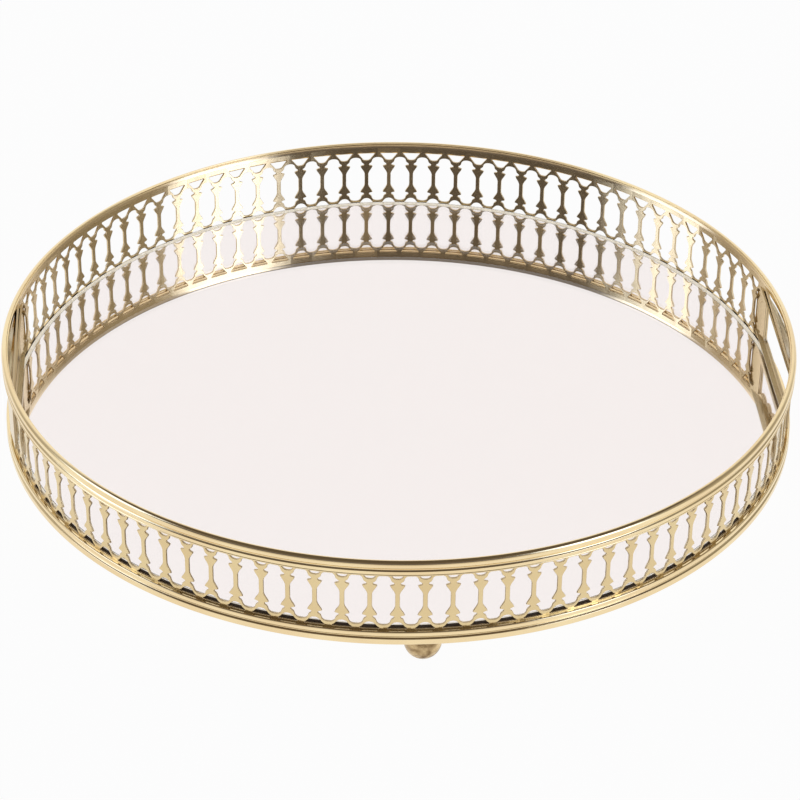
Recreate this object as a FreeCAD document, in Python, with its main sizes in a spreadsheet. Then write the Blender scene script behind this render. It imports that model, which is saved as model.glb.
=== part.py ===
import FreeCAD, Part
import os
import re

import Sketcher

# Round mirrored vanity tray: a pierced gallery wall between two rolled rims, two hand-holes, a mirror floor
# and ball feet.  Millimetres, +Z up, the origin on the table under the tray's centre.  The front foot is on
# -Y and the hand-holes are on +X and -X.

SIZES = {
    # whole tray
    "rim_diameter": 300.0,           # outside of the rolled rims
    "tray_height": 46.8,             # table to the top of the rim
    "strip_thickness": 0.8,          # sheet of the gallery strips
    "rim_stand_out": 1.6,            # how far the rims stand out of the strips
    "seam_gap": 0.05,                # play between curved faces that are pushed together
    # rolled rims
    "roll_radius": 1.5,
    "groove_depth": 0.7,             # from the roll's outside to the bottom of the groove beside it
    "groove_width": 0.5,
    "hem_inset": 0.25,               # how far a hem sits behind its roll
    "top_hem_height": 1.5,
    "bottom_hem_height": 1.2,
    # base pan
    "floor_height": 12.0,            # table to the underside of the pan's floor
    "floor_thickness": 1.0,
    # gallery piercing, one bay from baluster to baluster
    "bay_pitch": 9.5,
    "top_band": 1.2,                 # plain strip above the triangles
    "triangle_half_width": 4.1,
    "triangle_depth": 4.4,
    "window_top_margin": 4.3,        # strip's top edge to the windows
    "window_bottom_margin": 6.3,     # pan's floor to the windows
    "ear_half_width": 3.7,
    "ear_drop": 3.3,                 # window's end to its ears
    "waist_half_width": 2.3,
    "waist_drop": 4.5,               # window's end to its waist
    "belly_half_width": 3.85,
    "arch_half_width": 3.4,
    "arch_top_half_width": 2.0,
    "arch_bottom_margin": 4.8,       # pan's floor to the arches
    "arch_height": 2.8,
    # hand-hole frames
    "leaf_length": 73.4,             # outer leaf, along the wall
    "leaf_thickness": 0.75,
    "leaf_margin": 6.7,              # pan's floor to the leaf
    "core_length": 66.8,             # gap between the two strips
    "slot_length": 51.0,
    "slot_bottom_margin": 8.3,       # pan's floor to the slot
    "slot_top_margin": 4.3,          # strip's top edge to the points between the scallops
    "slot_corner_radius": 2.0,
    "scallop_depth": 2.1,
    # mirror and its board
    "mirror_thickness": 2.0,
    "mirror_gap": 0.2,               # to the inside of the wall
    "board_thickness": 3.9,
    "board_margin": 13.4,            # mirror's edge to the board's
    # feet
    "foot_inset": 10.0,              # outside of the rims to the middle of a foot
    "foot_radius": 6.7,
    "foot_base_radius": 1.5,         # small flat that the foot stands on
}

FOOT_COUNT = 4
SCALLOP_COUNT = 7

# Values that several pieces share, each worked out once from the sizes above.
DERIVED = {
    "rim_radius": "rim_diameter / 2",
    "wall_outer": "rim_radius - rim_stand_out",
    "wall_inner": "wall_outer - strip_thickness",
    "floor_top": "floor_height + floor_thickness",
    "roll_centre": "rim_radius - roll_radius",
    "top_roll_z": "tray_height - roll_radius",
    "bottom_roll_z": "floor_height + roll_radius",
    "strip_top": "top_roll_z - roll_radius / 2",
    "hem_radius": "rim_radius - hem_inset",
    "hem_bore": "wall_outer + seam_gap",
    "groove_radius": "rim_radius - groove_depth",
    "top_hem_bottom": "top_roll_z - roll_radius - groove_width - top_hem_height",
    "bottom_hem_top": "bottom_roll_z + roll_radius + groove_width + bottom_hem_height",
    "bay_count": "round(2 * pi * wall_outer / bay_pitch)",
    "bay_angle": "360 / bay_count",
    "core_angle": "core_length / wall_outer * 180 / pi",
    "strip_angle": "180 - core_angle",
    "window_bottom": "floor_top + window_bottom_margin",
    "window_top": "strip_top - window_top_margin",
    "arch_bottom": "floor_top + arch_bottom_margin",
    "leaf_bottom": "floor_top + leaf_margin",
    "slot_half_length": "slot_length / 2",
    "slot_bottom": "floor_top + slot_bottom_margin",
    "slot_top": "strip_top - slot_top_margin",
    "scallop_half_width": f"slot_half_length / {SCALLOP_COUNT}",
    "scallop_radius": "(scallop_half_width ^ 2 + scallop_depth ^ 2) / scallop_depth / 2",
    "mirror_bottom": "floor_top + board_thickness",
    "mirror_radius": "wall_inner - mirror_gap",
    "board_radius": "mirror_radius - board_margin",
    "foot_circle_radius": "rim_radius - foot_inset",
    "foot_centre_z": "sqrt(foot_radius ^ 2 - foot_base_radius ^ 2)",
}

doc = FreeCAD.newDocument("VanityTray")
sheet = doc.addObject("Spreadsheet::Sheet", "Sizes")
for row, (alias, value) in enumerate({**SIZES, **DERIVED}.items(), start=1):
    sheet.set(f"A{row}", alias)
    sheet.set(f"B{row}", "=" + value if alias in DERIVED else str(value))
    sheet.setAlias(f"B{row}", alias)
doc.recompute()


def on_sheet(formula):
    """A formula of aliases, written so that a property outside the sheet can use it."""
    return re.sub(r"[a-z]+(_[a-z]+)+", lambda word: "Sizes." + word[0], formula)


def worth(formula):
    """What a formula of aliases comes to, as a plain number."""
    value = sheet.evalExpression(on_sheet(formula))
    return float(getattr(value, "Value", value))


def bind(feature, **formulas):
    """Tie properties of a feature to the sheet."""
    for prop, formula in formulas.items():
        feature.setExpression(prop, on_sheet(formula))


def draw_outline(sketch, corners):
    """Draw straight lines round the corners, pairs of formulas, and pin every corner to the sheet."""
    points = [FreeCAD.Vector(worth(across), worth(up), 0) for across, up in corners]
    for start, end in zip(points, points[1:] + points[:1]):
        sketch.addGeometry(Part.LineSegment(start, end), False)
    for line in range(len(points)):
        following = (line + 1) % len(points)
        sketch.addConstraint(Sketcher.Constraint("Coincident", line, 2, following, 1))
    for line, (across, up) in enumerate(corners):
        for kind, formula in (("DistanceX", across), ("DistanceY", up)):
            if formula == "0":
                axis = -2 if kind == "DistanceX" else -1
                sketch.addConstraint(Sketcher.Constraint("PointOnObject", line, 1, axis))
            else:
                fixed = Sketcher.Constraint(kind, -1, 1, line, 1, worth(formula))
                number = sketch.addConstraint(fixed)
                sketch.setExpression(f"Constraints[{number}]", on_sheet(formula))


def body_sketch(body, name, role, corners):
    """A closed outline on one of the body's own origin planes."""
    plane = next(feature for feature in body.Origin.OriginFeatures if feature.Role == role)
    sketch = body.newObject("Sketcher::SketchObject", name)
    sketch.AttachmentSupport = [(plane, "")]
    sketch.MapMode = "FlatFace"
    draw_outline(sketch, corners)
    return sketch


def add_turn(body, name, corners, angle="360 deg"):
    """Turn an outline of the XZ plane round the Z axis, evenly to both sides of +X."""
    turn = body.newObject("PartDesign::Revolution", name)
    turn.Profile = body_sketch(body, name + "_outline", "XZ_Plane", corners)
    turn.ReferenceAxis = (turn.Profile[0], ["V_Axis"])
    turn.Midplane = True
    bind(turn, Angle=angle)


def new_body(label):
    """An empty body with its node's name."""
    body = doc.addObject("PartDesign::Body", label)
    body.Label = label
    return body


def turned_to(body, angle, radius="0"):
    """Carry a body modelled on +X round the Z axis, and out to a radius."""
    body.Placement.Rotation = FreeCAD.Rotation(FreeCAD.Vector(0, 0, 1), angle)
    if radius != "0":
        body.setExpression(".Placement.Base.x", on_sheet(f"{radius} * cos({angle} deg)"))
        body.setExpression(".Placement.Base.y", on_sheet(f"{radius} * sin({angle} deg)"))


def arc_corners(centre, height, radius, first, last, flats):
    """Corners of a rounded edge drawn by equal flats between two angles; all but flats are formulas."""
    angles = [f"({first} + ({last} - {first}) * {step / flats})" for step in range(flats + 1)]
    return [(f"{centre} + {radius} * cos{angle}", f"{height} + {radius} * sin{angle}") for angle in angles]


# Top rim: a roll on the strips' top edges, a groove under it and a hem that laps over their outside.
top_rim = new_body("top_rim")
add_turn(top_rim, "top_rim_turn", [
    ("roll_centre - roll_radius", "strip_top"),
] + arc_corners("roll_centre", "top_roll_z", "roll_radius", "135 deg", "0 deg", 3) + [
    ("groove_radius", "top_roll_z - roll_radius"),
    ("hem_radius", "top_hem_bottom + top_hem_height"),
    ("hem_radius", "top_hem_bottom"),
    ("hem_bore", "top_hem_bottom"),
    ("hem_bore", "strip_top"),
])

# Base pan: one pressing, a flat floor with a rolled edge whose hem laps up over the strips, which stand on
# the floor.
base_pan = new_body("base_pan")
add_turn(base_pan, "base_pan_turn", [
    ("0", "floor_height"),
] + arc_corners("roll_centre", "bottom_roll_z", "roll_radius", "-90 deg", "0 deg", 2) + [
    ("groove_radius", "bottom_roll_z + roll_radius"),
    ("hem_radius", "bottom_hem_top - bottom_hem_height"),
    ("hem_radius", "bottom_hem_top"),
    ("hem_bore", "bottom_hem_top"),
    ("hem_bore", "floor_top"),
    ("0", "floor_top"),
])


def opening(name, corners):
    """A bar with the outline of one piercing, along +X from inside the wall to outside it."""
    outline = doc.addObject("Sketcher::SketchObject", name + "_outline")
    outline.Placement.Rotation = FreeCAD.Rotation(FreeCAD.Vector(1, 1, 1), 120)
    bind(outline, **{".Placement.Base.x": "wall_inner - strip_thickness"})
    draw_outline(outline, corners)
    bar = doc.addObject("Part::Extrusion", name)
    bar.Base = outline
    bar.DirMode = "Normal"
    bind(bar, LengthFwd="strip_thickness * 3")
    bar.Solid = True
    return bar


# The three openings that repeat along the gallery.  A window fills the space between two balusters, so its
# ears and waist draw their barbed ends.  A triangle and an arch sit above and below each baluster.
window_side = [
    ("ear_half_width", "window_bottom + ear_drop"),
    ("waist_half_width", "window_bottom + waist_drop"),
    ("belly_half_width", "(window_bottom + window_top) / 2"),
    ("waist_half_width", "window_top - waist_drop"),
    ("ear_half_width", "window_top - ear_drop"),
]
other_side = [("-" + across, up) for across, up in reversed(window_side)]
window = opening("window", [("0", "window_bottom")] + window_side + [("0", "window_top")] + other_side)
window_halves = [
    opening("window_half", [("0", "window_bottom")] + window_side + [("0", "window_top")]),
    opening("window_other_half", [("0", "window_top")] + other_side + [("0", "window_bottom")]),
]
triangle = opening("triangle", [
    ("0", "strip_top - top_band - triangle_depth"),
    ("triangle_half_width", "strip_top - top_band"),
    ("-triangle_half_width", "strip_top - top_band"),
])
arch = opening("arch", [
    ("-arch_half_width", "arch_bottom"),
    ("arch_half_width", "arch_bottom"),
    ("arch_top_half_width", "arch_bottom + arch_height"),
    ("-arch_top_half_width", "arch_bottom + arch_height"),
])
doc.recompute()


def gallery_strip(label, facing, window_count, end_windows):
    """A pierced strip of flat bays centred on the facing angle, whose ends butt the hand-hole frames."""
    first_corner = facing + (window_count + 1) / 2 * worth("bay_angle")
    prisms = []
    for side in ("outer", "inner"):
        prism = doc.addObject("Part::Prism", f"{label}_{side}")
        bind(prism, Polygon="bay_count", Circumradius=f"wall_{side}", Height="strip_top - floor_top")
        prism.Placement.Rotation = FreeCAD.Rotation(FreeCAD.Vector(0, 0, 1), first_corner)
        bind(prism, **{".Placement.Base.z": "floor_top"})
        prisms.append(prism)
    ring = doc.addObject("Part::Cut", label + "_ring")
    ring.Base, ring.Tool = prisms
    sector = doc.addObject("Part::Cylinder", label + "_sector")
    bind(sector, Radius="rim_radius", Height="tray_height", Angle="strip_angle")
    first_end = facing - worth("strip_angle") / 2
    sector.Placement.Rotation = FreeCAD.Rotation(FreeCAD.Vector(0, 0, 1), first_end)
    blank = doc.addObject("Part::Common", label + "_blank")
    blank.Base, blank.Tool = ring, sector
    bars = []
    windows = [end_windows[0]] + [window] * (window_count - 2) + [end_windows[1]]
    for number in range(2 * window_count - 1):
        turn = facing + (number - window_count + 1) / 2 * worth("bay_angle")
        openings = [windows[number // 2]] if number % 2 == 0 else [triangle, arch]
        bars += [bar.Shape.rotated(FreeCAD.Vector(), FreeCAD.Vector(0, 0, 1), turn) for bar in openings]
    piercings = doc.addObject("Part::Feature", label + "_piercings")
    piercings.Shape = Part.makeCompound(bars)
    strip = doc.addObject("Part::Cut", label)
    strip.Base, strip.Tool = blank, piercings
    strip.Label = label
    return strip


# Gallery: two strips of the same pierced pattern.  The front one has a baluster in its middle and the back
# one a window, and the back one ends in half a window under each frame.
front_windows = 2 * int((worth("strip_angle / bay_angle") + 1) / 2)
gallery_front = gallery_strip("gallery_front", -90, front_windows, [window, window])
gallery_back = gallery_strip("gallery_back", 90, front_windows + 1, window_halves)

# Slot of a hand-hole: straight sides, rounded bottom corners and a top edge of hanging scallops.
slot_edge = arc_corners("slot_corner_radius - slot_half_length", "slot_bottom + slot_corner_radius",
                        "slot_corner_radius", "180 deg", "270 deg", 2)
slot_edge += arc_corners("slot_half_length - slot_corner_radius", "slot_bottom + slot_corner_radius",
                         "slot_corner_radius", "270 deg", "360 deg", 2)
slot_edge.append(("slot_half_length", "slot_top"))
lean = "asin(scallop_half_width / scallop_radius)"
for scallop in range(SCALLOP_COUNT):
    middle = f"(slot_half_length - scallop_half_width * {2 * scallop + 1})"
    slot_edge += arc_corners(middle, "slot_top - scallop_depth + scallop_radius", "scallop_radius",
                             f"(270 deg + {lean})", f"(270 deg - {lean})", 3)[1:]


def handle_frame(label, facing):
    """A frame with a core that fills the gap between the strips and a leaf that laps over their ends."""
    frame = new_body(label)
    add_turn(frame, label + "_core", [
        ("wall_inner", "floor_top"),
        ("wall_outer", "floor_top"),
        ("wall_outer", "leaf_bottom"),
        ("hem_bore", "leaf_bottom"),
        ("hem_bore", "top_hem_bottom"),
        ("wall_outer", "top_hem_bottom"),
        ("wall_outer", "strip_top"),
        ("wall_inner", "strip_top"),
    ], "core_angle")
    add_turn(frame, label + "_leaf", [
        ("hem_bore", "leaf_bottom"),
        ("hem_bore + leaf_thickness", "leaf_bottom"),
        ("hem_bore + leaf_thickness", "top_hem_bottom"),
        ("hem_bore", "top_hem_bottom"),
    ], "leaf_length / wall_outer * 180 / pi")
    slot = frame.newObject("PartDesign::Pocket", label + "_slot")
    slot.Profile = body_sketch(frame, label + "_slot_outline", "YZ_Plane", slot_edge)
    slot.Type = "ThroughAll"
    slot.Midplane = True
    turned_to(frame, facing)
    return frame


handle_frame_right = handle_frame("handle_frame_right", 0)
handle_frame_left = handle_frame("handle_frame_left", 180)


def disc(label, radius, thickness, bottom):
    """A plain disc on the tray's axis."""
    plate = doc.addObject("Part::Cylinder", label)
    plate.Label = label
    bind(plate, Radius=radius, Height=thickness)
    bind(plate, **{".Placement.Base.z": bottom})
    return plate


# Board on the pan's floor, and the mirror that lies on it and reaches almost to the wall.
backing_board = disc("backing_board", "board_radius", "board_thickness", "floor_top")
mirror = disc("mirror", "mirror_radius", "mirror_thickness", "mirror_bottom")


# Ball feet: soldered under the pan round one circle, the first at the front.  Each has a small flat to stand
# on and a wider one at its seat.
foot_outline = [("0", "0")] + arc_corners(
    "0", "foot_centre_z", "foot_radius", "(-acos(foot_base_radius / foot_radius))",
    "asin((floor_height - foot_centre_z) / foot_radius)", 3) + [("0", "floor_height")]
feet = []
for number in range(FOOT_COUNT):
    foot = new_body(f"foot_{number + 1}")
    add_turn(foot, f"foot_{number + 1}_turn", foot_outline)
    turned_to(foot, 360 / FOOT_COUNT * number - 90, "foot_circle_radius")
    feet.append(foot)
ball_feet = doc.addObject("Part::Compound", "ball_feet")
ball_feet.Links = feet
ball_feet.Label = "ball_feet"
doc.recompute()

for feature in doc.Objects:
    if "Invalid" in feature.State or "Error" in feature.State:
        raise RuntimeError(f"{feature.Label} did not recompute: {feature.State}")

NODES = [
    top_rim, gallery_front, gallery_back, handle_frame_left, handle_frame_right,
    base_pan, backing_board, mirror, ball_feet,
]
os.makedirs("parts", exist_ok=True)
for node in NODES:
    if node.Shape.isNull() or not node.Shape.isValid():
        raise RuntimeError(f"{node.Label} has no valid shape")
    node.Shape.exportStep(f"parts/{node.Label}.step")
    print(node.Label, len(node.Shape.Solids), round(node.Shape.Volume, 1))
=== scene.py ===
import bpy
import math
import numpy as np
from mathutils import Matrix, Vector
from mathutils.geometry import tessellate_polygon


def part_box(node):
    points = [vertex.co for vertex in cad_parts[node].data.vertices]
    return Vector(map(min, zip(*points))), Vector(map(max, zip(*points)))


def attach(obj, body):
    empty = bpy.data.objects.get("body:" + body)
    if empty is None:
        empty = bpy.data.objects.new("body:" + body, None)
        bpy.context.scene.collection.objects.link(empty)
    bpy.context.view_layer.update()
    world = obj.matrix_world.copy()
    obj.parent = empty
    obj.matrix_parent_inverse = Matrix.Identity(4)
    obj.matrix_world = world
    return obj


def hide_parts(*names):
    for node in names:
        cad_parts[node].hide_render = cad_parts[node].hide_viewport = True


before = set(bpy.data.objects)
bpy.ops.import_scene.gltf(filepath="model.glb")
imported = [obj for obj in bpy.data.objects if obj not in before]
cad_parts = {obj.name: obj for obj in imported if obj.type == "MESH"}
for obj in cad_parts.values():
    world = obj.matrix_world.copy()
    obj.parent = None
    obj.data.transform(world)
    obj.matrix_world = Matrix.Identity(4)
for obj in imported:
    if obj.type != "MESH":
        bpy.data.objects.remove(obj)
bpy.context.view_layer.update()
scene = bpy.context.scene
scene.view_settings.view_transform = "Standard"


# Camera: a long lens that looks down into the tray over its front edge, from a little to the left of the front
# foot, and leans to one side by less than a degree.
camera_data = bpy.data.cameras.new("camera")
camera_data.lens = 131.0
camera_data.sensor_width = 36.0
camera_data.clip_end = 20.0
camera = bpy.data.objects.new("camera", camera_data)
scene.collection.objects.link(camera)
scene.camera = camera
camera_turn = math.radians(-3.9)
camera_elevation = math.radians(33.25)
camera_lean = math.radians(0.7)
camera_distance = 1.0623
camera_aim = Vector((0.0006, -0.0496, 0.0467))
looking = Matrix.Rotation(math.pi / 2 - camera_elevation, 4, "X") @ Matrix.Rotation(camera_lean, 4, "Z")
aimed = Matrix.Translation(camera_aim) @ looking
camera.matrix_world = (Matrix.Rotation(camera_turn, 4, "Z") @ aimed
                       @ Matrix.Translation((0.0, 0.0, camera_distance)))


# Studio: a white tent with big soft lights at both sides and behind.  It is open overhead and has a gap where
# the camera looks in, and the metal shows both as dark bands.  The camera itself sees plain white.
def step(recipe, kind, values=None, **settings):
    """Add one step to the recipe of a light or a finish: its own settings first, then its sockets' values."""
    made = recipe.nodes.new("ShaderNode" + kind)
    for setting, choice in settings.items():
        setattr(made, setting, choice)
    for socket, value in (values or {}).items():
        made.inputs[socket].default_value = value
    return made


def feed(source, outlet, target, inlet):
    """Lead what one step gives into a socket of a later one."""
    target.id_data.links.new(source.outputs[outlet], target.inputs[inlet])


def colour_run(recipe, colours, first=0.0, last=1.0):
    """A step that blends colours given as (place, colour), with places in rising order from first to last."""
    run = step(recipe, "ValToRGB")
    elements = run.color_ramp.elements
    shares = [(place - first) / (last - first) for place, _ in colours]
    elements[0].position, elements[1].position = shares[0], shares[-1]
    for share in shares[1:-1]:
        elements.new(share)
    for element, (_, colour) in zip(elements, colours):
        element.color = (*colour, 1.0)
    return run


world = bpy.data.worlds.new("studio")
scene.world = world
world.use_nodes = True
sky = world.node_tree
sky.nodes.clear()
direction = step(sky, "TexCoord")
ways = step(sky, "SeparateXYZ")
feed(direction, "Generated", ways, "Vector")
towards_front = step(sky, "Math", {1: -1.0}, operation="MULTIPLY")
feed(ways, "Y", towards_front, 0)
round_room = step(sky, "Math", operation="ARCTAN2")
feed(ways, "X", round_room, 0)
feed(towards_front, "Value", round_room, 1)
share_of_turn = step(sky, "MapRange", {"From Min": -math.pi, "From Max": math.pi})
feed(round_room, "Value", share_of_turn, "Value")

# The walls, and then the walls at the gap's height, in degrees round the room from the front, the right positive.
white, pale, grey = (1.0, 1.0, 1.0), (0.66, 0.62, 0.58), (0.48, 0.46, 0.43)
shine, glare = (1.8, 2.1, 2.8), (2.5, 2.9, 3.9)
dim, gloom = (0.36, 0.34, 0.30), (0.14, 0.135, 0.145)
walls = colour_run(sky, [
    (-180.0, white), (-148.0, white), (-125.0, grey), (-108.0, grey), (-98.0, white), (-66.0, white),
    (-50.0, pale), (30.0, pale), (42.0, white), (76.0, white), (88.0, grey), (125.0, grey), (148.0, white),
    (180.0, white)], -180.0, 180.0)
gap_walls = colour_run(sky, [
    (-180.0, white), (-148.0, white), (-125.0, grey), (-112.0, grey), (-103.0, shine), (-82.0, shine),
    (-73.0, gloom), (33.0, gloom), (45.0, glare), (63.0, glare), (72.0, dim), (125.0, dim), (148.0, white),
    (180.0, white)], -180.0, 180.0)
for wall_colours in (walls, gap_walls):
    feed(share_of_turn, "Result", wall_colours, "Fac")

# How much a direction belongs to the gap and to the opening, where 0 is level and 1 is straight up.
outside, within = (0.0, 0.0, 0.0), (1.0, 1.0, 1.0)
gap_height = colour_run(sky, [(0.30, outside), (0.40, within), (0.68, within), (0.78, outside)])
opening_height = colour_run(sky, [(0.66, outside), (0.78, within)])
for height in (gap_height, opening_height):
    feed(ways, "Z", height, "Fac")

overhead_dark = (0.12, 0.10, 0.08, 1.0)
with_gap = step(sky, "Mix", data_type="RGBA")
feed(gap_height, "Color", with_gap, "Factor")
feed(walls, "Color", with_gap, "A")
feed(gap_walls, "Color", with_gap, "B")
tent = step(sky, "Mix", {"B": overhead_dark}, data_type="RGBA")
feed(opening_height, "Color", tent, "Factor")
feed(with_gap, "Result", tent, "A")
tent_light = step(sky, "Background")
feed(tent, "Result", tent_light, "Color")
plain_white = step(sky, "Background", {"Color": (*white, 1.0)})
sky_seen_by = step(sky, "LightPath")
sky_mix = step(sky, "MixShader")
feed(sky_seen_by, "Is Camera Ray", sky_mix, "Fac")
feed(tent_light, "Background", sky_mix, 1)
feed(plain_white, "Background", sky_mix, 2)
feed(sky_mix, "Shader", step(sky, "OutputWorld"), "Surface")

# The floor is matt white and takes the tray's shadow, but shows mostly as plain white, also in metal and glass.
floor_reach, plain_share = 6.0, 0.96
floor_corners = floor_reach * np.array([(-1.0, -1.0, 0.0), (1.0, -1.0, 0.0), (1.0, 1.0, 0.0), (-1.0, 1.0, 0.0)])
floor_mesh = bpy.data.meshes.new("floor")
floor_mesh.from_pydata(floor_corners.tolist(), [], [(0, 1, 2, 3)])
floor = bpy.data.objects.new("floor", floor_mesh)
scene.collection.objects.link(floor)
floor_paint = bpy.data.materials.new("white_floor")
floor_paint.use_nodes = True
paint = floor_paint.node_tree
paint.nodes.clear()
floor_seen_by = step(paint, "LightPath")
straight_or_mirrored = step(paint, "Math", operation="MAXIMUM")
feed(floor_seen_by, "Is Camera Ray", straight_or_mirrored, 0)
feed(floor_seen_by, "Is Glossy Ray", straight_or_mirrored, 1)
or_through_glass = step(paint, "Math", operation="MAXIMUM")
feed(straight_or_mirrored, "Value", or_through_glass, 0)
feed(floor_seen_by, "Is Transmission Ray", or_through_glass, 1)
lit_share = step(paint, "Math", {1: plain_share}, operation="MULTIPLY")
feed(or_through_glass, "Value", lit_share, 0)
matt_white = step(paint, "BsdfDiffuse", {"Color": (0.9, 0.9, 0.9, 1.0)})
lit_white = step(paint, "Emission", {"Strength": 1.0})
paint_mix = step(paint, "MixShader")
feed(lit_share, "Value", paint_mix, "Fac")
feed(matt_white, "BSDF", paint_mix, 1)
feed(lit_white, "Emission", paint_mix, 2)
feed(paint_mix, "Shader", step(paint, "OutputMaterial"), "Surface")
floor_mesh.materials.append(floor_paint)


# Base pan: pressed from thin brass sheet, with its edge rolled into a bead under a narrow groove and a hem
# that laps up over the gallery's lower edge.  Gold-washed and polished like the other rim.
def finish_with(name, values):
    """A finish that has these values on its shader's own sockets."""
    finish = bpy.data.materials.new(name)
    finish.use_nodes = True
    shader = finish.node_tree.nodes["Principled BSDF"]
    for socket, value in values.items():
        shader.inputs[socket].default_value = value
    return finish


def brass(name, colour, shade, roughness, waviness, fineness=1.0):
    """A gold-washed brass: cloudy colour between two tones, uneven polish and slightly wavy sheet."""
    finish = finish_with(name, {"Metallic": 1.0})
    recipe, metal = finish.node_tree, finish.node_tree.nodes["Principled BSDF"]
    cloud_scale, wave_scale, wave_depth, uneven_polish = 35.0 * fineness, 90.0 * fineness, 0.001, 0.3
    place = step(recipe, "TexCoord")
    clouds = step(recipe, "TexNoise", {"Scale": cloud_scale, "Detail": 4.0})
    feed(place, "Object", clouds, "Vector")
    tones = colour_run(recipe, [(0.35, shade), (0.65, colour)])
    feed(clouds, "Fac", tones, "Fac")
    feed(tones, "Color", metal, "Base Color")
    polish = step(recipe, "MapRange", {"To Min": roughness * (1 - uneven_polish),
                                       "To Max": roughness * (1 + uneven_polish)})
    feed(clouds, "Fac", polish, "Value")
    feed(polish, "Result", metal, "Roughness")
    sheet_waves = step(recipe, "TexNoise", {"Scale": wave_scale})
    feed(place, "Object", sheet_waves, "Vector")
    dents = step(recipe, "Bump", {"Strength": waviness, "Distance": wave_depth})
    feed(sheet_waves, "Fac", dents, "Height")
    feed(dents, "Normal", metal, "Normal")
    return finish


def arc(centre_r, centre_z, radius, first, last, count):
    """Points at even angles, in degrees: the centre plus the radius times the angle's cosine and sine."""
    angle = np.radians(np.linspace(first, last, count))
    return np.stack([centre_r + radius * np.cos(angle), centre_z + radius * np.sin(angle)], axis=1)


def turning(profile, turns):
    """Carry a profile of (radius, height) points round the upright axis, and give points, sides and caps.

    At each angle from the front, x is the radius times its sine and y is minus the radius times its cosine.
    A profile whose ends have no radius is capped round two poles, and any other profile is a closed ring.
    """
    solid = profile[0, 0] == 0.0
    line = profile[1:-1] if solid else profile
    angle = np.linspace(0.0, 2.0 * np.pi, turns, endpoint=False)[:, None]
    grid = np.stack([line[:, 0] * np.sin(angle), -line[:, 0] * np.cos(angle), line[:, 1] + 0.0 * angle], axis=-1)
    points = grid.reshape(-1, 3)
    columns = len(line)
    column = np.arange(columns - 1 if solid else columns)[None, :]
    next_column = (column + 1) % columns
    start = np.arange(turns)[:, None] * columns
    following = np.roll(start, -1, axis=0)
    sides = np.stack([start + column, following + column, following + next_column, start + next_column], axis=-1)
    caps = np.empty((0, 3), dtype=int)
    if solid:
        first_pole, last_pole = np.full_like(start, len(points)), np.full_like(start, len(points) + 1)
        points = np.concatenate([points, [(0.0, 0.0, profile[0, 1]), (0.0, 0.0, profile[-1, 1])]])
        caps = np.concatenate([np.hstack([start, first_pole, following]),
                               np.hstack([start + columns - 1, following + columns - 1, last_pole])])
    return points, sides.reshape(-1, 4), caps


def on_tray(mesh):
    """Make a piece of a finished mesh, which rides on the tray."""
    piece = bpy.data.objects.new(mesh.name, mesh)
    scene.collection.objects.link(piece)
    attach(piece, "root")
    return piece


def smooth_piece(name, turned, material, crease=40.0):
    """A smooth-shaded piece from points, sides and caps, with edges sharper than the crease, in degrees, kept."""
    points, sides, caps = turned
    mesh = bpy.data.meshes.new(name)
    mesh.from_pydata(points.tolist(), [], sides.tolist() + caps.tolist())
    mesh.shade_smooth()
    mesh.set_sharp_from_angle(angle=math.radians(crease))
    mesh.materials.append(material)
    return on_tray(mesh)


pan_bottom = float(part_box("base_pan")[0][2])
rim_radius = float(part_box("top_rim")[1][0])
strip_low, strip_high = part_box("gallery_front")
wall_outer = -float(strip_low[1])
sheet, play = 0.0008, 0.00005
wall_inner = wall_outer - sheet
hem_bore = wall_outer + play
pan_floor = float(strip_low[2])
pan_under = pan_floor - sheet
round_steps = 540


def rolled(base, *bends_up):
    """The bends of a rolled edge, from the bottom up.

    Each gives how far its centre lies in from the rim's full radius and up from the base, and its own radius,
    all in millimetres, then its first and last angle in degrees and its count of points.
    """
    return np.concatenate([
        arc(rim_radius - inset / 1000.0, base + rise / 1000.0, radius / 1000.0, first, last, count)
        for inset, rise, radius, first, last, count in bends_up])


pan_flat, pan_hem_top = rim_radius - 0.0027, pan_floor + 0.0043
bead_foot = (0.55, 0.5, 0.5, -125.0, 0.0, 9)
bead_shoulder = (0.35, 1.2, 0.3, 0.0, 70.0, 5)
bead_groove = (0.45, 1.9, 0.35, 220.0, 160.0, 5)
hem_swell = (1.8, 3.3, 1.7, -40.0, 26.0, 12)
hem_lip = (0.77, 3.8, 0.55, 26.0, 90.0, 8)
pan_profile = np.concatenate([
    [(0.0, pan_under), (pan_flat, pan_under)],
    rolled(pan_bottom, bead_foot),
    rolled(pan_floor, bead_shoulder, bead_groove, hem_swell, hem_lip),
    [(hem_bore, pan_hem_top), (hem_bore, pan_floor), (0.0, pan_floor)],
])
rim_brass = brass("rim_brass", (0.93, 0.76, 0.46), (0.86, 0.67, 0.39), roughness=0.12, waviness=0.1)
base_pan = smooth_piece("pan_with_rolled_edge", turning(pan_profile, round_steps), rim_brass)
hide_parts("base_pan")


# Ball feet: brass balls, turned with a flat to stand on and another where they are soldered under the pan.
# They are darker and rougher than the rims. Their tops are painted dark brown: painted shade and painted
# reflection of the pan's underside above them.
foot_radius, foot_middle, foot_inset = 0.0067, 0.00653, 0.010
# Heights where the painted shade on the top of each foot begins and where it is full.
painted_shade_start, painted_shade_full = 0.0074, 0.0100
foot_steps, bend_steps = 64, 28
foot_circle = rim_radius - foot_inset
seat_angle = math.degrees(math.asin((pan_under - foot_middle) / foot_radius))
base_angle = math.degrees(math.asin(foot_middle / foot_radius))
foot_profile = np.concatenate([
    [(0.0, 0.0)], arc(0.0, foot_middle, foot_radius, -base_angle, seat_angle, bend_steps), [(0.0, pan_under)]])
foot_points, foot_sides, foot_caps = turning(foot_profile, foot_steps)
foot_places = np.array([(0.0, -1.0, 0.0), (1.0, 0.0, 0.0), (0.0, 1.0, 0.0), (-1.0, 0.0, 0.0)]) * foot_circle
feet_points = (foot_points + foot_places[:, None]).reshape(-1, 3)
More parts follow.
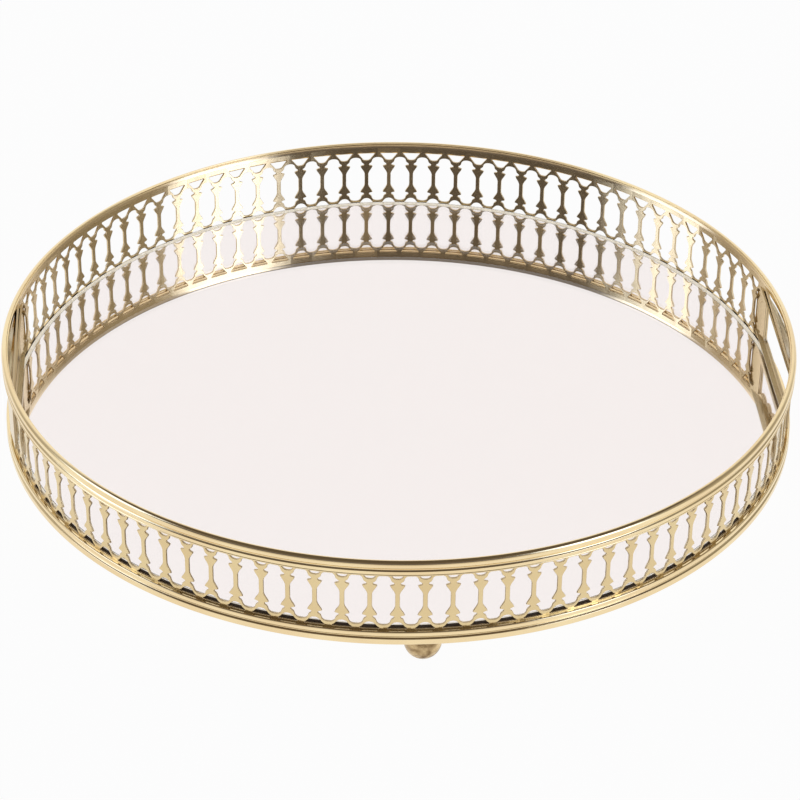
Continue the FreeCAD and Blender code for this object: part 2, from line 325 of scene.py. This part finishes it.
foot_starts = np.arange(len(foot_places))[:, None, None] * len(foot_points)
feet_sides, feet_caps = (foot_sides + foot_starts).reshape(-1, 4), (foot_caps + foot_starts).reshape(-1, 3)
foot_brass = brass("foot_brass", (0.80, 0.60, 0.33), (0.20, 0.12, 0.05), roughness=0.25, waviness=0.5,
                   fineness=6.0)
foot_recipe = foot_brass.node_tree
foot_metal = foot_recipe.nodes["Principled BSDF"]
foot_tones = foot_metal.inputs["Base Color"].links[0].from_node
foot_place = step(foot_recipe, "TexCoord")
foot_ways = step(foot_recipe, "SeparateXYZ")
feed(foot_place, "Object", foot_ways, "Vector")
# Painted shade: each foot's colour turns dark brown towards its top, under the pan.
painted_shade_rise = step(foot_recipe, "MapRange", {"From Min": painted_shade_start, "From Max": painted_shade_full})
feed(foot_ways, "Z", painted_shade_rise, "Value")
painted_top_shade = step(foot_recipe, "Mix", {"B": (0.20, 0.12, 0.045, 1.0)}, data_type="RGBA")
feed(painted_shade_rise, "Result", painted_top_shade, "Factor")
feed(foot_tones, "Color", painted_top_shade, "A")
feed(painted_top_shade, "Result", foot_metal, "Base Color")
ball_feet = smooth_piece("four_ball_feet", (feet_points, feet_sides, feet_caps), foot_brass)
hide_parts("ball_feet")


# Backing board: a fibreboard disc that lies loose on the pan's floor and carries the mirror.  It stops short
# of the wall, and the mirror over it and the pan under it hide it.
def fibrous(name, low, high, roughness, scale, detail=2.0):
    """A dull fibrous finish, speckled between two tones."""
    finish = finish_with(name, {"Roughness": roughness})
    recipe, surface = finish.node_tree, finish.node_tree.nodes["Principled BSDF"]
    place = step(recipe, "TexCoord")
    specks = step(recipe, "TexNoise", {"Scale": scale, "Detail": detail})
    feed(place, "Object", specks, "Vector")
    tones = colour_run(recipe, [(0.0, low), (1.0, high)])
    feed(specks, "Fac", tones, "Fac")
    feed(tones, "Color", surface, "Base Color")
    return finish


fibreboard = fibrous("fibreboard", (0.10, 0.07, 0.045), (0.24, 0.18, 0.12), roughness=0.85, scale=900.0,
                     detail=6.0)
board_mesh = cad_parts["backing_board"].data
board_mesh.materials.clear()
board_mesh.materials.append(fibreboard)


# Mirror: a round plate of float glass with a ground edge, silvered on its back up to a narrow bare band and
# bound round with dark paper, whose darkness is partly painted shade for the narrow gap to the wall.  It lies on
# the board and reaches almost to the wall, so the gallery stands on its own reflection.
def section(inner, outer, bottom, top):
    """The square section of a flat ring as (radius, height) points, or of a disc where inner is no radius."""
    return np.array([(inner, bottom), (outer, bottom), (outer, top), (inner, top)])


mirror_low, mirror_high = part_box("mirror")
mirror_radius = -float(mirror_low[1])
silver_bottom, glass_top = float(mirror_low[2]), float(mirror_high[2])
silver_thickness, binding_thickness, arris = 0.0001, 0.0002, 0.0002
edge_band, band_gap, seam = 0.0012, 0.0002, 0.00002
silver_top = silver_bottom + silver_thickness
glass_radius = mirror_radius - binding_thickness
band_radius = glass_radius - edge_band
arris_foot = glass_top - arris

glass = finish_with("mirror_glass", {
    "Base Color": (0.99, 0.995, 0.99, 1.0), "Roughness": 0.0, "IOR": 1.5, "Transmission Weight": 1.0})
# Painted light: the ground edge glows a little through its emission, so it reads pale.
ground_glass = finish_with("ground_glass", {
    "Base Color": (0.95, 0.91, 0.82, 1.0), "Roughness": 0.5,
    "Emission Color": (1.0, 0.94, 0.82, 1.0), "Emission Strength": 0.35})
# Painted light: the bare band glows a little as well, so it reads as a pale line under the glass.
bare_edge = finish_with("bare_edge", {
    "Base Color": (0.97, 0.90, 0.76, 1.0), "Roughness": 0.5,
    "Emission Color": (1.0, 0.94, 0.82, 1.0), "Emission Strength": 0.32})
silver = finish_with("mirror_silver", {
    "Base Color": (0.927, 0.865, 0.852, 1.0), "Roughness": 0.0, "Metallic": 1.0})
# Painted shade: the binding is near black, so that the gap between the mirror and the wall reads dark.
binding_with_painted_shade = fibrous("edge_binding_painted_shade", (0.03, 0.02, 0.012), (0.07, 0.045, 0.028), roughness=0.7, scale=600.0)

glass_profile = np.array([(0.0, silver_top), (glass_radius, silver_top), (glass_radius, arris_foot),
                          (glass_radius - arris, glass_top), (0.0, glass_top)])
glass_points, glass_sides, glass_caps = turning(glass_profile, round_steps)
mirror_glass = smooth_piece("mirror_glass", (glass_points, glass_sides, glass_caps), glass, crease=8.0)
mirror_glass.data.materials.append(ground_glass)
on_edge = np.repeat([1, 0], [len(glass_sides), len(glass_caps)]).astype(np.int32)
mirror_glass.data.polygons.foreach_set("material_index", on_edge)
silver_back = section(0.0, band_radius - band_gap, silver_bottom, silver_top + seam)
mirror_silver = smooth_piece("mirror_silver", turning(silver_back, round_steps), silver)
bare_band = section(band_radius, glass_radius - seam, silver_bottom, silver_top + seam)
mirror_band = smooth_piece("mirror_edge_band", turning(bare_band, round_steps), bare_edge)
paper_strip = section(glass_radius + seam, mirror_radius, silver_bottom, arris_foot)
mirror_binding_painted_shade = smooth_piece("mirror_binding_painted_shade", turning(paper_strip, round_steps), binding_with_painted_shade)
for mirror_piece in (mirror_glass, mirror_silver, mirror_band, mirror_binding_painted_shade):
    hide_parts("mirror")


# Gallery: two strips of brass sheet, pierced in a press with one repeating pattern and bent round.  Between
# the tall windows stand balusters with barbed ends; a shield-shaped hole sits above each and an arch below.
gallery_brass = brass("gallery_brass", (0.80, 0.64, 0.36), (0.74, 0.57, 0.31), roughness=0.2, waviness=0.12)
cut_brass = brass("cut_brass", (0.86, 0.70, 0.44), (0.78, 0.62, 0.38), roughness=0.55, waviness=0.05)
bays_round = 98
bay = 2.0 * math.pi / bays_round
half_bay = bay * wall_outer / 2
strip_top = float(strip_high[2])
window_foot, window_head, shield_foot, arch_foot = 0.0193, 0.04025, 0.03875, 0.0178
edge_round = 0.00012
points_in_bend = 5


def bends(*runs):
    """Points along cubic curves, each run given as start, two handles and end, in millimetres.

    At each share of the way the start weighs the rest cubed, the first handle three times the rest squared times
    the share, the second three times the rest times the share squared, and the end the share cubed.  A run's end
    is left to the next run.
    """
    share = np.linspace(0.0, 1.0, points_in_bend + 1)[:-1, None]
    pieces = []
    for start, leaving, arriving, end in np.array(runs, dtype=float) / 1000.0:
        pieces.append(start * (1 - share) ** 3 + 3 * leaving * share * (1 - share) ** 2
                      + 3 * arriving * share ** 2 * (1 - share) + end * share ** 3)
    return np.concatenate(pieces)


def mirrored(half):
    """Close a half outline, which runs up the right from the middle line back to it, with its mirror image."""
    return np.concatenate([half, half[1:-1][::-1] * (-1.0, 1.0)])


# A quarter of a window from its pointed end: a domed cap, an ear, a notch that leaves the barb, and the body.
window_quarter = bends(
    ((0, 0), (1.3, 0), (2.2, 0.5), (2.4, 1.5)),
    ((2.4, 1.5), (2.5, 2.3), (2.9, 2.6), (3.45, 2.95)),
    ((3.45, 2.95), (3.8, 3.25), (3.75, 3.65), (3.4, 3.85)),
    ((3.4, 3.85), (3.0, 4.0), (2.5, 4.05), (2.2, 4.3)),
    ((2.2, 4.3), (2.5, 5.4), (3.65, 6.3), (3.95, 7.8)),
    ((3.95, 7.8), (3.95, 8.5), (3.95, 9.2), (3.95, 9.8)),
)
window_middle = (window_foot + window_head) / 2
window_half = np.concatenate([
    window_quarter + (0.0, window_foot),
    [(window_quarter[-1, 0], window_middle)],
    (window_quarter * (1.0, -1.0) + (0.0, window_head))[::-1],
])
# Half a shield: its point, its widening side, a rounded shoulder and a flat top.
shield_half = np.concatenate([
    bends(((0, 0), (0.8, 0), (1.3, 0.15), (1.65, 0.65)), ((1.65, 0.65), (2.2, 1.45), (2.9, 2.25), (3.5, 3.0)),
          ((3.5, 3.0), (3.85, 3.45), (3.8, 3.75), (3.3, 3.75))),
    [(0.0033, 0.00375), (0.0, 0.00375)]]) + (0.0, shield_foot)
# Half an arch: its flat foot, a rounded corner, and the side that sweeps up to the crown.
arch_half = np.concatenate([
    [(0.0, 0.0), (0.0031, 0.0)],
    bends(((3.2, 0.0), (3.6, 0.1), (3.5, 0.4), (3.0, 0.6)), ((3.0, 0.6), (2.1, 1.1), (1.9, 2.8), (0.0, 2.8))),
    [(0.0, 0.0028)]]) + (0.0, arch_foot)
window_loop, shield_loop, arch_loop = mirrored(window_half), mirrored(shield_half), mirrored(arch_half)


def into_sheet(loop):
    """Each point's direction from the hole into the sheet, for an outline that runs anticlockwise.

    It is the way from the point before to the point after, turned a quarter clockwise, at a length of one.
    """
    along = np.roll(loop, -1, axis=0) - np.roll(loop, 1, axis=0)
    away = np.stack([along[:, 1], -along[:, 0]], axis=1)
    return away / np.linalg.norm(away, axis=1, keepdims=True)


def eased(loop):
    """The outline moved into the sheet by the rounding of its edge."""
    return loop + into_sheet(loop) * edge_round


def turned_to(flat, turn, sideways, outwards, upwards):
    """Normals with these parts along the wall, out of it and up it, at flat points (along, up).

    At each point's angle round the wall, x is sideways times the cosine plus outwards times the sine, and y is
    sideways times the sine less outwards times the cosine.
    """
    angle = turn + flat[:, 0] / wall_outer
    x = sideways * np.cos(angle) + outwards * np.sin(angle)
    y = sideways * np.sin(angle) - outwards * np.cos(angle)
    return np.stack([x, y, upwards + 0.0 * angle], axis=1)


class Sheet:
    """A pierced sheet in the making: vertices on the curved wall, faces, and a normal for each face corner."""

    def __init__(self, outer, inner):
        """Start with nothing but the radii of the sheet's two faces."""
        self.outer, self.inner = outer, inner
        self.points, self.faces, self.normals, self.cuts = [], [], [], []
        self.total = 0

    def on_wall(self, flat, depth, turn):
        """Lay flat points (along, up) on the wall, at a depth under the sheet's outer face.

        The angle is the turn plus along over the wall's radius, and the radius is the outer one less the depth.
        """
        angle = turn + flat[:, 0] / wall_outer
        radius = self.outer - depth
        return np.stack([radius * np.sin(angle), -radius * np.cos(angle), flat[:, 1]], axis=1)

    def add(self, points, faces, normals, cut):
        """Add faces of these points; normals has one row for each point, and cut tells a sheared edge."""
        self.points.append(points)
        self.faces.extend((faces + self.total).tolist())
        self.normals.append(normals[faces.reshape(-1)])
        self.cuts.extend([cut] * len(faces))
        self.total += len(points)

    def plate(self, loops, turn, tilt=(0.0, 0.0)):
        """The outer and inner faces of a flat region: the first loop bounds it and the others are holes.

        The tilt leans the shading normals of the whole region, as a bay that was bent a little unevenly.
        """
        flat = np.concatenate(loops)
        faces = np.array(tessellate_polygon([[Vector((x, y, 0.0)) for x, y in loop] for loop in loops]))
        first, second, third = flat[faces[:, 0]], flat[faces[:, 1]], flat[faces[:, 2]]
        area = (second - first)[:, 0] * (third - first)[:, 1] - (second - first)[:, 1] * (third - first)[:, 0]
        faces[area < 0] = faces[area < 0][:, ::-1]
        outward = turned_to(flat, turn, tilt[0], 1.0, tilt[1])
        self.add(self.on_wall(flat, 0.0, turn), faces, outward, 0)
        inward = turned_to(flat, turn, tilt[1], -1.0, tilt[0])
        self.add(self.on_wall(flat, self.outer - self.inner, turn), faces[:, ::-1], inward, 0)

    def hole_edge(self, loop, turn):
        """The wall of a hole through the sheet, as four rings, with both its edges rounded over."""
        away = into_sheet(loop)
        wide = loop + away * edge_round
        thickness = self.outer - self.inner
        through = turned_to(loop, turn, -away[:, 0], 0.0, -away[:, 1])
        rings = [(wide, 0.0, turned_to(loop, turn, 0.0, 1.0, 0.0)), (loop, edge_round, through),
                 (loop, thickness - edge_round, through),
                 (wide, thickness, turned_to(loop, turn, 0.0, -1.0, 0.0))]
        points = np.concatenate([self.on_wall(flat, depth, turn) for flat, depth, _ in rings])
        normals = np.concatenate([normal for _, _, normal in rings])
        place = np.arange(len(loop))
        following = (place + 1) % len(loop)
        ring = np.arange(len(rings) - 1)[:, None] * len(loop)
        faces = np.stack([ring + place, ring + following,
                          ring + len(loop) + following, ring + len(loop) + place], axis=-1)
        self.add(points, faces.reshape(-1, 4), normals, 1)

    def cut_edge(self, path, turn):
        """The plain cut edge along an open path that has the sheet on its left, one flat face to a stretch."""
        path = np.asarray(path)
        along = path[1:] - path[:-1]
        away = np.stack([along[:, 1], -along[:, 0]], axis=1) / np.hypot(along[:, 0], along[:, 1])[:, None]
        flat, away = np.stack([path[:-1], path[1:]], axis=1).reshape(-1, 2), np.repeat(away, 2, axis=0)
        points = np.concatenate([self.on_wall(flat, 0.0, turn), self.on_wall(flat, self.outer - self.inner, turn)])
        normals = turned_to(flat, turn, away[:, 0], 0.0, away[:, 1])
        start, under = np.arange(0, len(flat), 2), len(flat)
        faces = np.stack([start, start + under, start + under + 1, start + 1], axis=1)
        self.add(points, faces, np.concatenate([normals, normals]), 1)

    def finish(self, name, material, slot_name):
        """Make the piece, with the gathered normals as its shading and a duller finish on sheared edges."""
        mesh = bpy.data.meshes.new(name)
        mesh.from_pydata(np.concatenate(self.points).tolist(), [], self.faces)
        mesh.shade_smooth()
        mesh.normals_split_custom_set(np.concatenate(self.normals).tolist())
        mesh.materials.append(material)
        mesh.materials.append(cut_brass)
        mesh.polygons.foreach_set("material_index", np.array(self.cuts, dtype=np.int32))
        return on_tray(mesh)


eased_window = eased(window_loop)[:len(window_half)]
eased_shield, eased_arch = eased(shield_loop), eased(arch_loop)
bay_unevenness = 0.03


def pierced_strip(facing, balusters, reach, seed):
    """A strip of bays, each centred on a baluster, round an angle that is measured from the front.

    Reach is how far the strip goes on past the middle of its last window, along the wall.
    """
    strip = Sheet(wall_outer, wall_inner)
    tilts = np.random.default_rng(seed).normal(0.0, bay_unevenness, (balusters, 2))
    right_of_window, left_of_window = eased_window, eased_window * (-1.0, 1.0)
    foot_edge = np.array([(-half_bay, pan_floor), (half_bay, pan_floor)])
    head_edge = np.array([(half_bay, strip_top), (-half_bay, strip_top)])
    bay_edge = np.concatenate([foot_edge, left_of_window + (half_bay, 0.0),
                               head_edge, (right_of_window - (half_bay, 0.0))[::-1]])
    for number in range(balusters):
        turn = facing + (number - (balusters - 1) / 2) * bay
        strip.plate([bay_edge, eased_shield, eased_arch], turn, tilts[number])
        strip.hole_edge(shield_loop, turn)
        strip.hole_edge(arch_loop, turn)
        strip.cut_edge(foot_edge, turn)
        strip.cut_edge(head_edge, turn)
    for number in range(balusters + 1):
        strip.hole_edge(window_loop, facing + (number - balusters / 2) * bay)
    for side in (-1.0, 1.0):
        turn = facing + side * balusters / 2 * bay
        end_edge = np.array([(0.0, pan_floor), (reach, pan_floor), (reach, strip_top), (0.0, strip_top)])
        end_plate = np.concatenate([end_edge, right_of_window[::-1]])
        if side < 0:
            end_plate, end_edge = (end_plate * (-1.0, 1.0))[::-1], (end_edge * (-1.0, 1.0))[::-1]
        strip.plate([end_plate], turn)
        strip.cut_edge(end_edge, turn)
    return strip


front_balusters, back_balusters = 41, 42
front_end = math.radians(77.105)
front_reach = (front_end - front_balusters / 2 * bay) * wall_outer
back_reach = 0.0046
front_strip = pierced_strip(0.0, front_balusters, front_reach, seed=3)
gallery_front = front_strip.finish("pierced_front", gallery_brass, "gallery_brass")
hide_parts("gallery_front")
back_strip = pierced_strip(math.pi, back_balusters, back_reach, seed=5)
gallery_back = back_strip.finish("pierced_back", gallery_brass, "gallery_brass")
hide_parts("gallery_back")


# Hand-hole frames: at the right and at the left a plate fills the gap between the strips, and a thin leaf that
# laps over their ends is soldered outside it.  One slot with seven hanging scallops is pierced through both.
corner_points = 9


def rounded_foot(half, bottom, corner):
    """The lower corners of an outline from left to right, each a quarter of a circle."""
    return np.concatenate([arc(-half + corner, bottom + corner, corner, 180.0, 270.0, corner_points),
                           arc(half - corner, bottom + corner, corner, 270.0, 360.0, corner_points)])


leaf_outer = wall_outer + sheet
leaf_half, leaf_bottom, leaf_corner = 0.0367, pan_floor + 0.0067, 0.0022
leaf_top = float(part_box("top_rim")[0][2]) + 0.0003
slot_half, slot_bottom, slot_top, slot_corner = 0.0255, pan_floor + 0.0083, strip_top - 0.0043, 0.002
scallop_count, scallop_points, scallop_depth, scallop_fullness = 7, 8, 0.0021, 0.7
scallop_share = np.linspace(0.0, 1.0, scallop_points + 1)[:-1]
scallop_place = (np.arange(scallop_count)[:, None] + scallop_share[None, :]).reshape(-1) / scallop_count
scallop_hang = scallop_depth * np.sin(np.pi * np.tile(scallop_share, scallop_count)) ** scallop_fullness
scallops = np.stack([slot_half - 2.0 * slot_half * scallop_place, slot_top - scallop_hang], axis=1)
slot_loop = np.concatenate([rounded_foot(slot_half, slot_bottom, slot_corner), scallops, [(-slot_half, slot_top)]])
leaf_loop = np.concatenate([
    rounded_foot(leaf_half, leaf_bottom, leaf_corner), [(leaf_half, leaf_top), (-leaf_half, leaf_top)]])


def slotted(outer, inner, outline, turn, name):
    """A curved plate between two radii, with this outline and the hand-hole's slot."""
    plate = Sheet(outer, inner)
    plate.plate([outline, eased(slot_loop)], turn)
    plate.hole_edge(slot_loop, turn)
    plate.cut_edge(np.concatenate([outline, outline[:1]]), turn)
    return plate.finish(name, gallery_brass, "gallery_brass")


core_to_front = (math.pi / 2 - front_end) * wall_outer
core_to_back = (math.pi / 2 - back_balusters / 2 * bay) * wall_outer - back_reach
for side, turn, towards_back in (("right", math.pi / 2, 1.0), ("left", -math.pi / 2, -1.0)):
    frame_leaf = slotted(leaf_outer, hem_bore, leaf_loop, turn, "frame_leaf_" + side)
    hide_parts("handle_frame_" + side)
    first, last = sorted((-core_to_front * towards_back, core_to_back * towards_back))
    core_loop = np.array([(first, pan_floor), (last, pan_floor), (last, strip_top), (first, strip_top)])
    frame_core = slotted(wall_outer, wall_inner, core_loop, turn, "frame_core_" + side)
    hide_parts("handle_frame_" + side)


# Top rim: a second band rolled from the same sheet, its bead on top and its hem pointing down over the
# gallery's upper edge, so the strips and the frames are clamped between the two rims.
rim_top = float(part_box("top_rim")[1][2])
bead_middle = rim_top - 0.0016
bead = (1.6, 0.0, 1.6, -58.0, 100.0, 26)
groove_below = (0.4, -1.6, 0.4, 215.0, 155.0, 6)
band_shoulder = (0.45, -2.35, 0.25, 0.0, 70.0, 5)
hem_foot = (0.4, -3.75, 0.35, -150.0, 62.0, 12)
band_side = (rim_radius - 0.00022, bead_middle - 0.0031)
lip_radius, lip_middle = 0.0003, rim_top - 0.0009
step_top = (wall_inner + 0.00038, lip_middle + 0.00055)
step_foot = (wall_inner + 0.00035, lip_middle + 0.0004)
strip_seat = strip_top + 0.00001
leaf_bore = leaf_outer + play
strip_bore_foot, leaf_bore_top, leaf_bore_foot = bead_middle - 0.0027, bead_middle - 0.0030, bead_middle - 0.0038
top_profile = np.concatenate([
    rolled(bead_middle, hem_foot), [band_side],
    rolled(bead_middle, band_shoulder, groove_below, bead), [step_top, step_foot],
    arc(wall_inner + lip_radius, lip_middle, lip_radius, 80.0, 180.0, 6),
    [(wall_inner, strip_seat), (hem_bore, strip_seat), (hem_bore, strip_bore_foot),
     (leaf_bore, leaf_bore_top), (leaf_bore, leaf_bore_foot)],
])
top_rim = smooth_piece("rim_with_rolled_edge", turning(top_profile, round_steps), rim_brass)
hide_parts("top_rim")
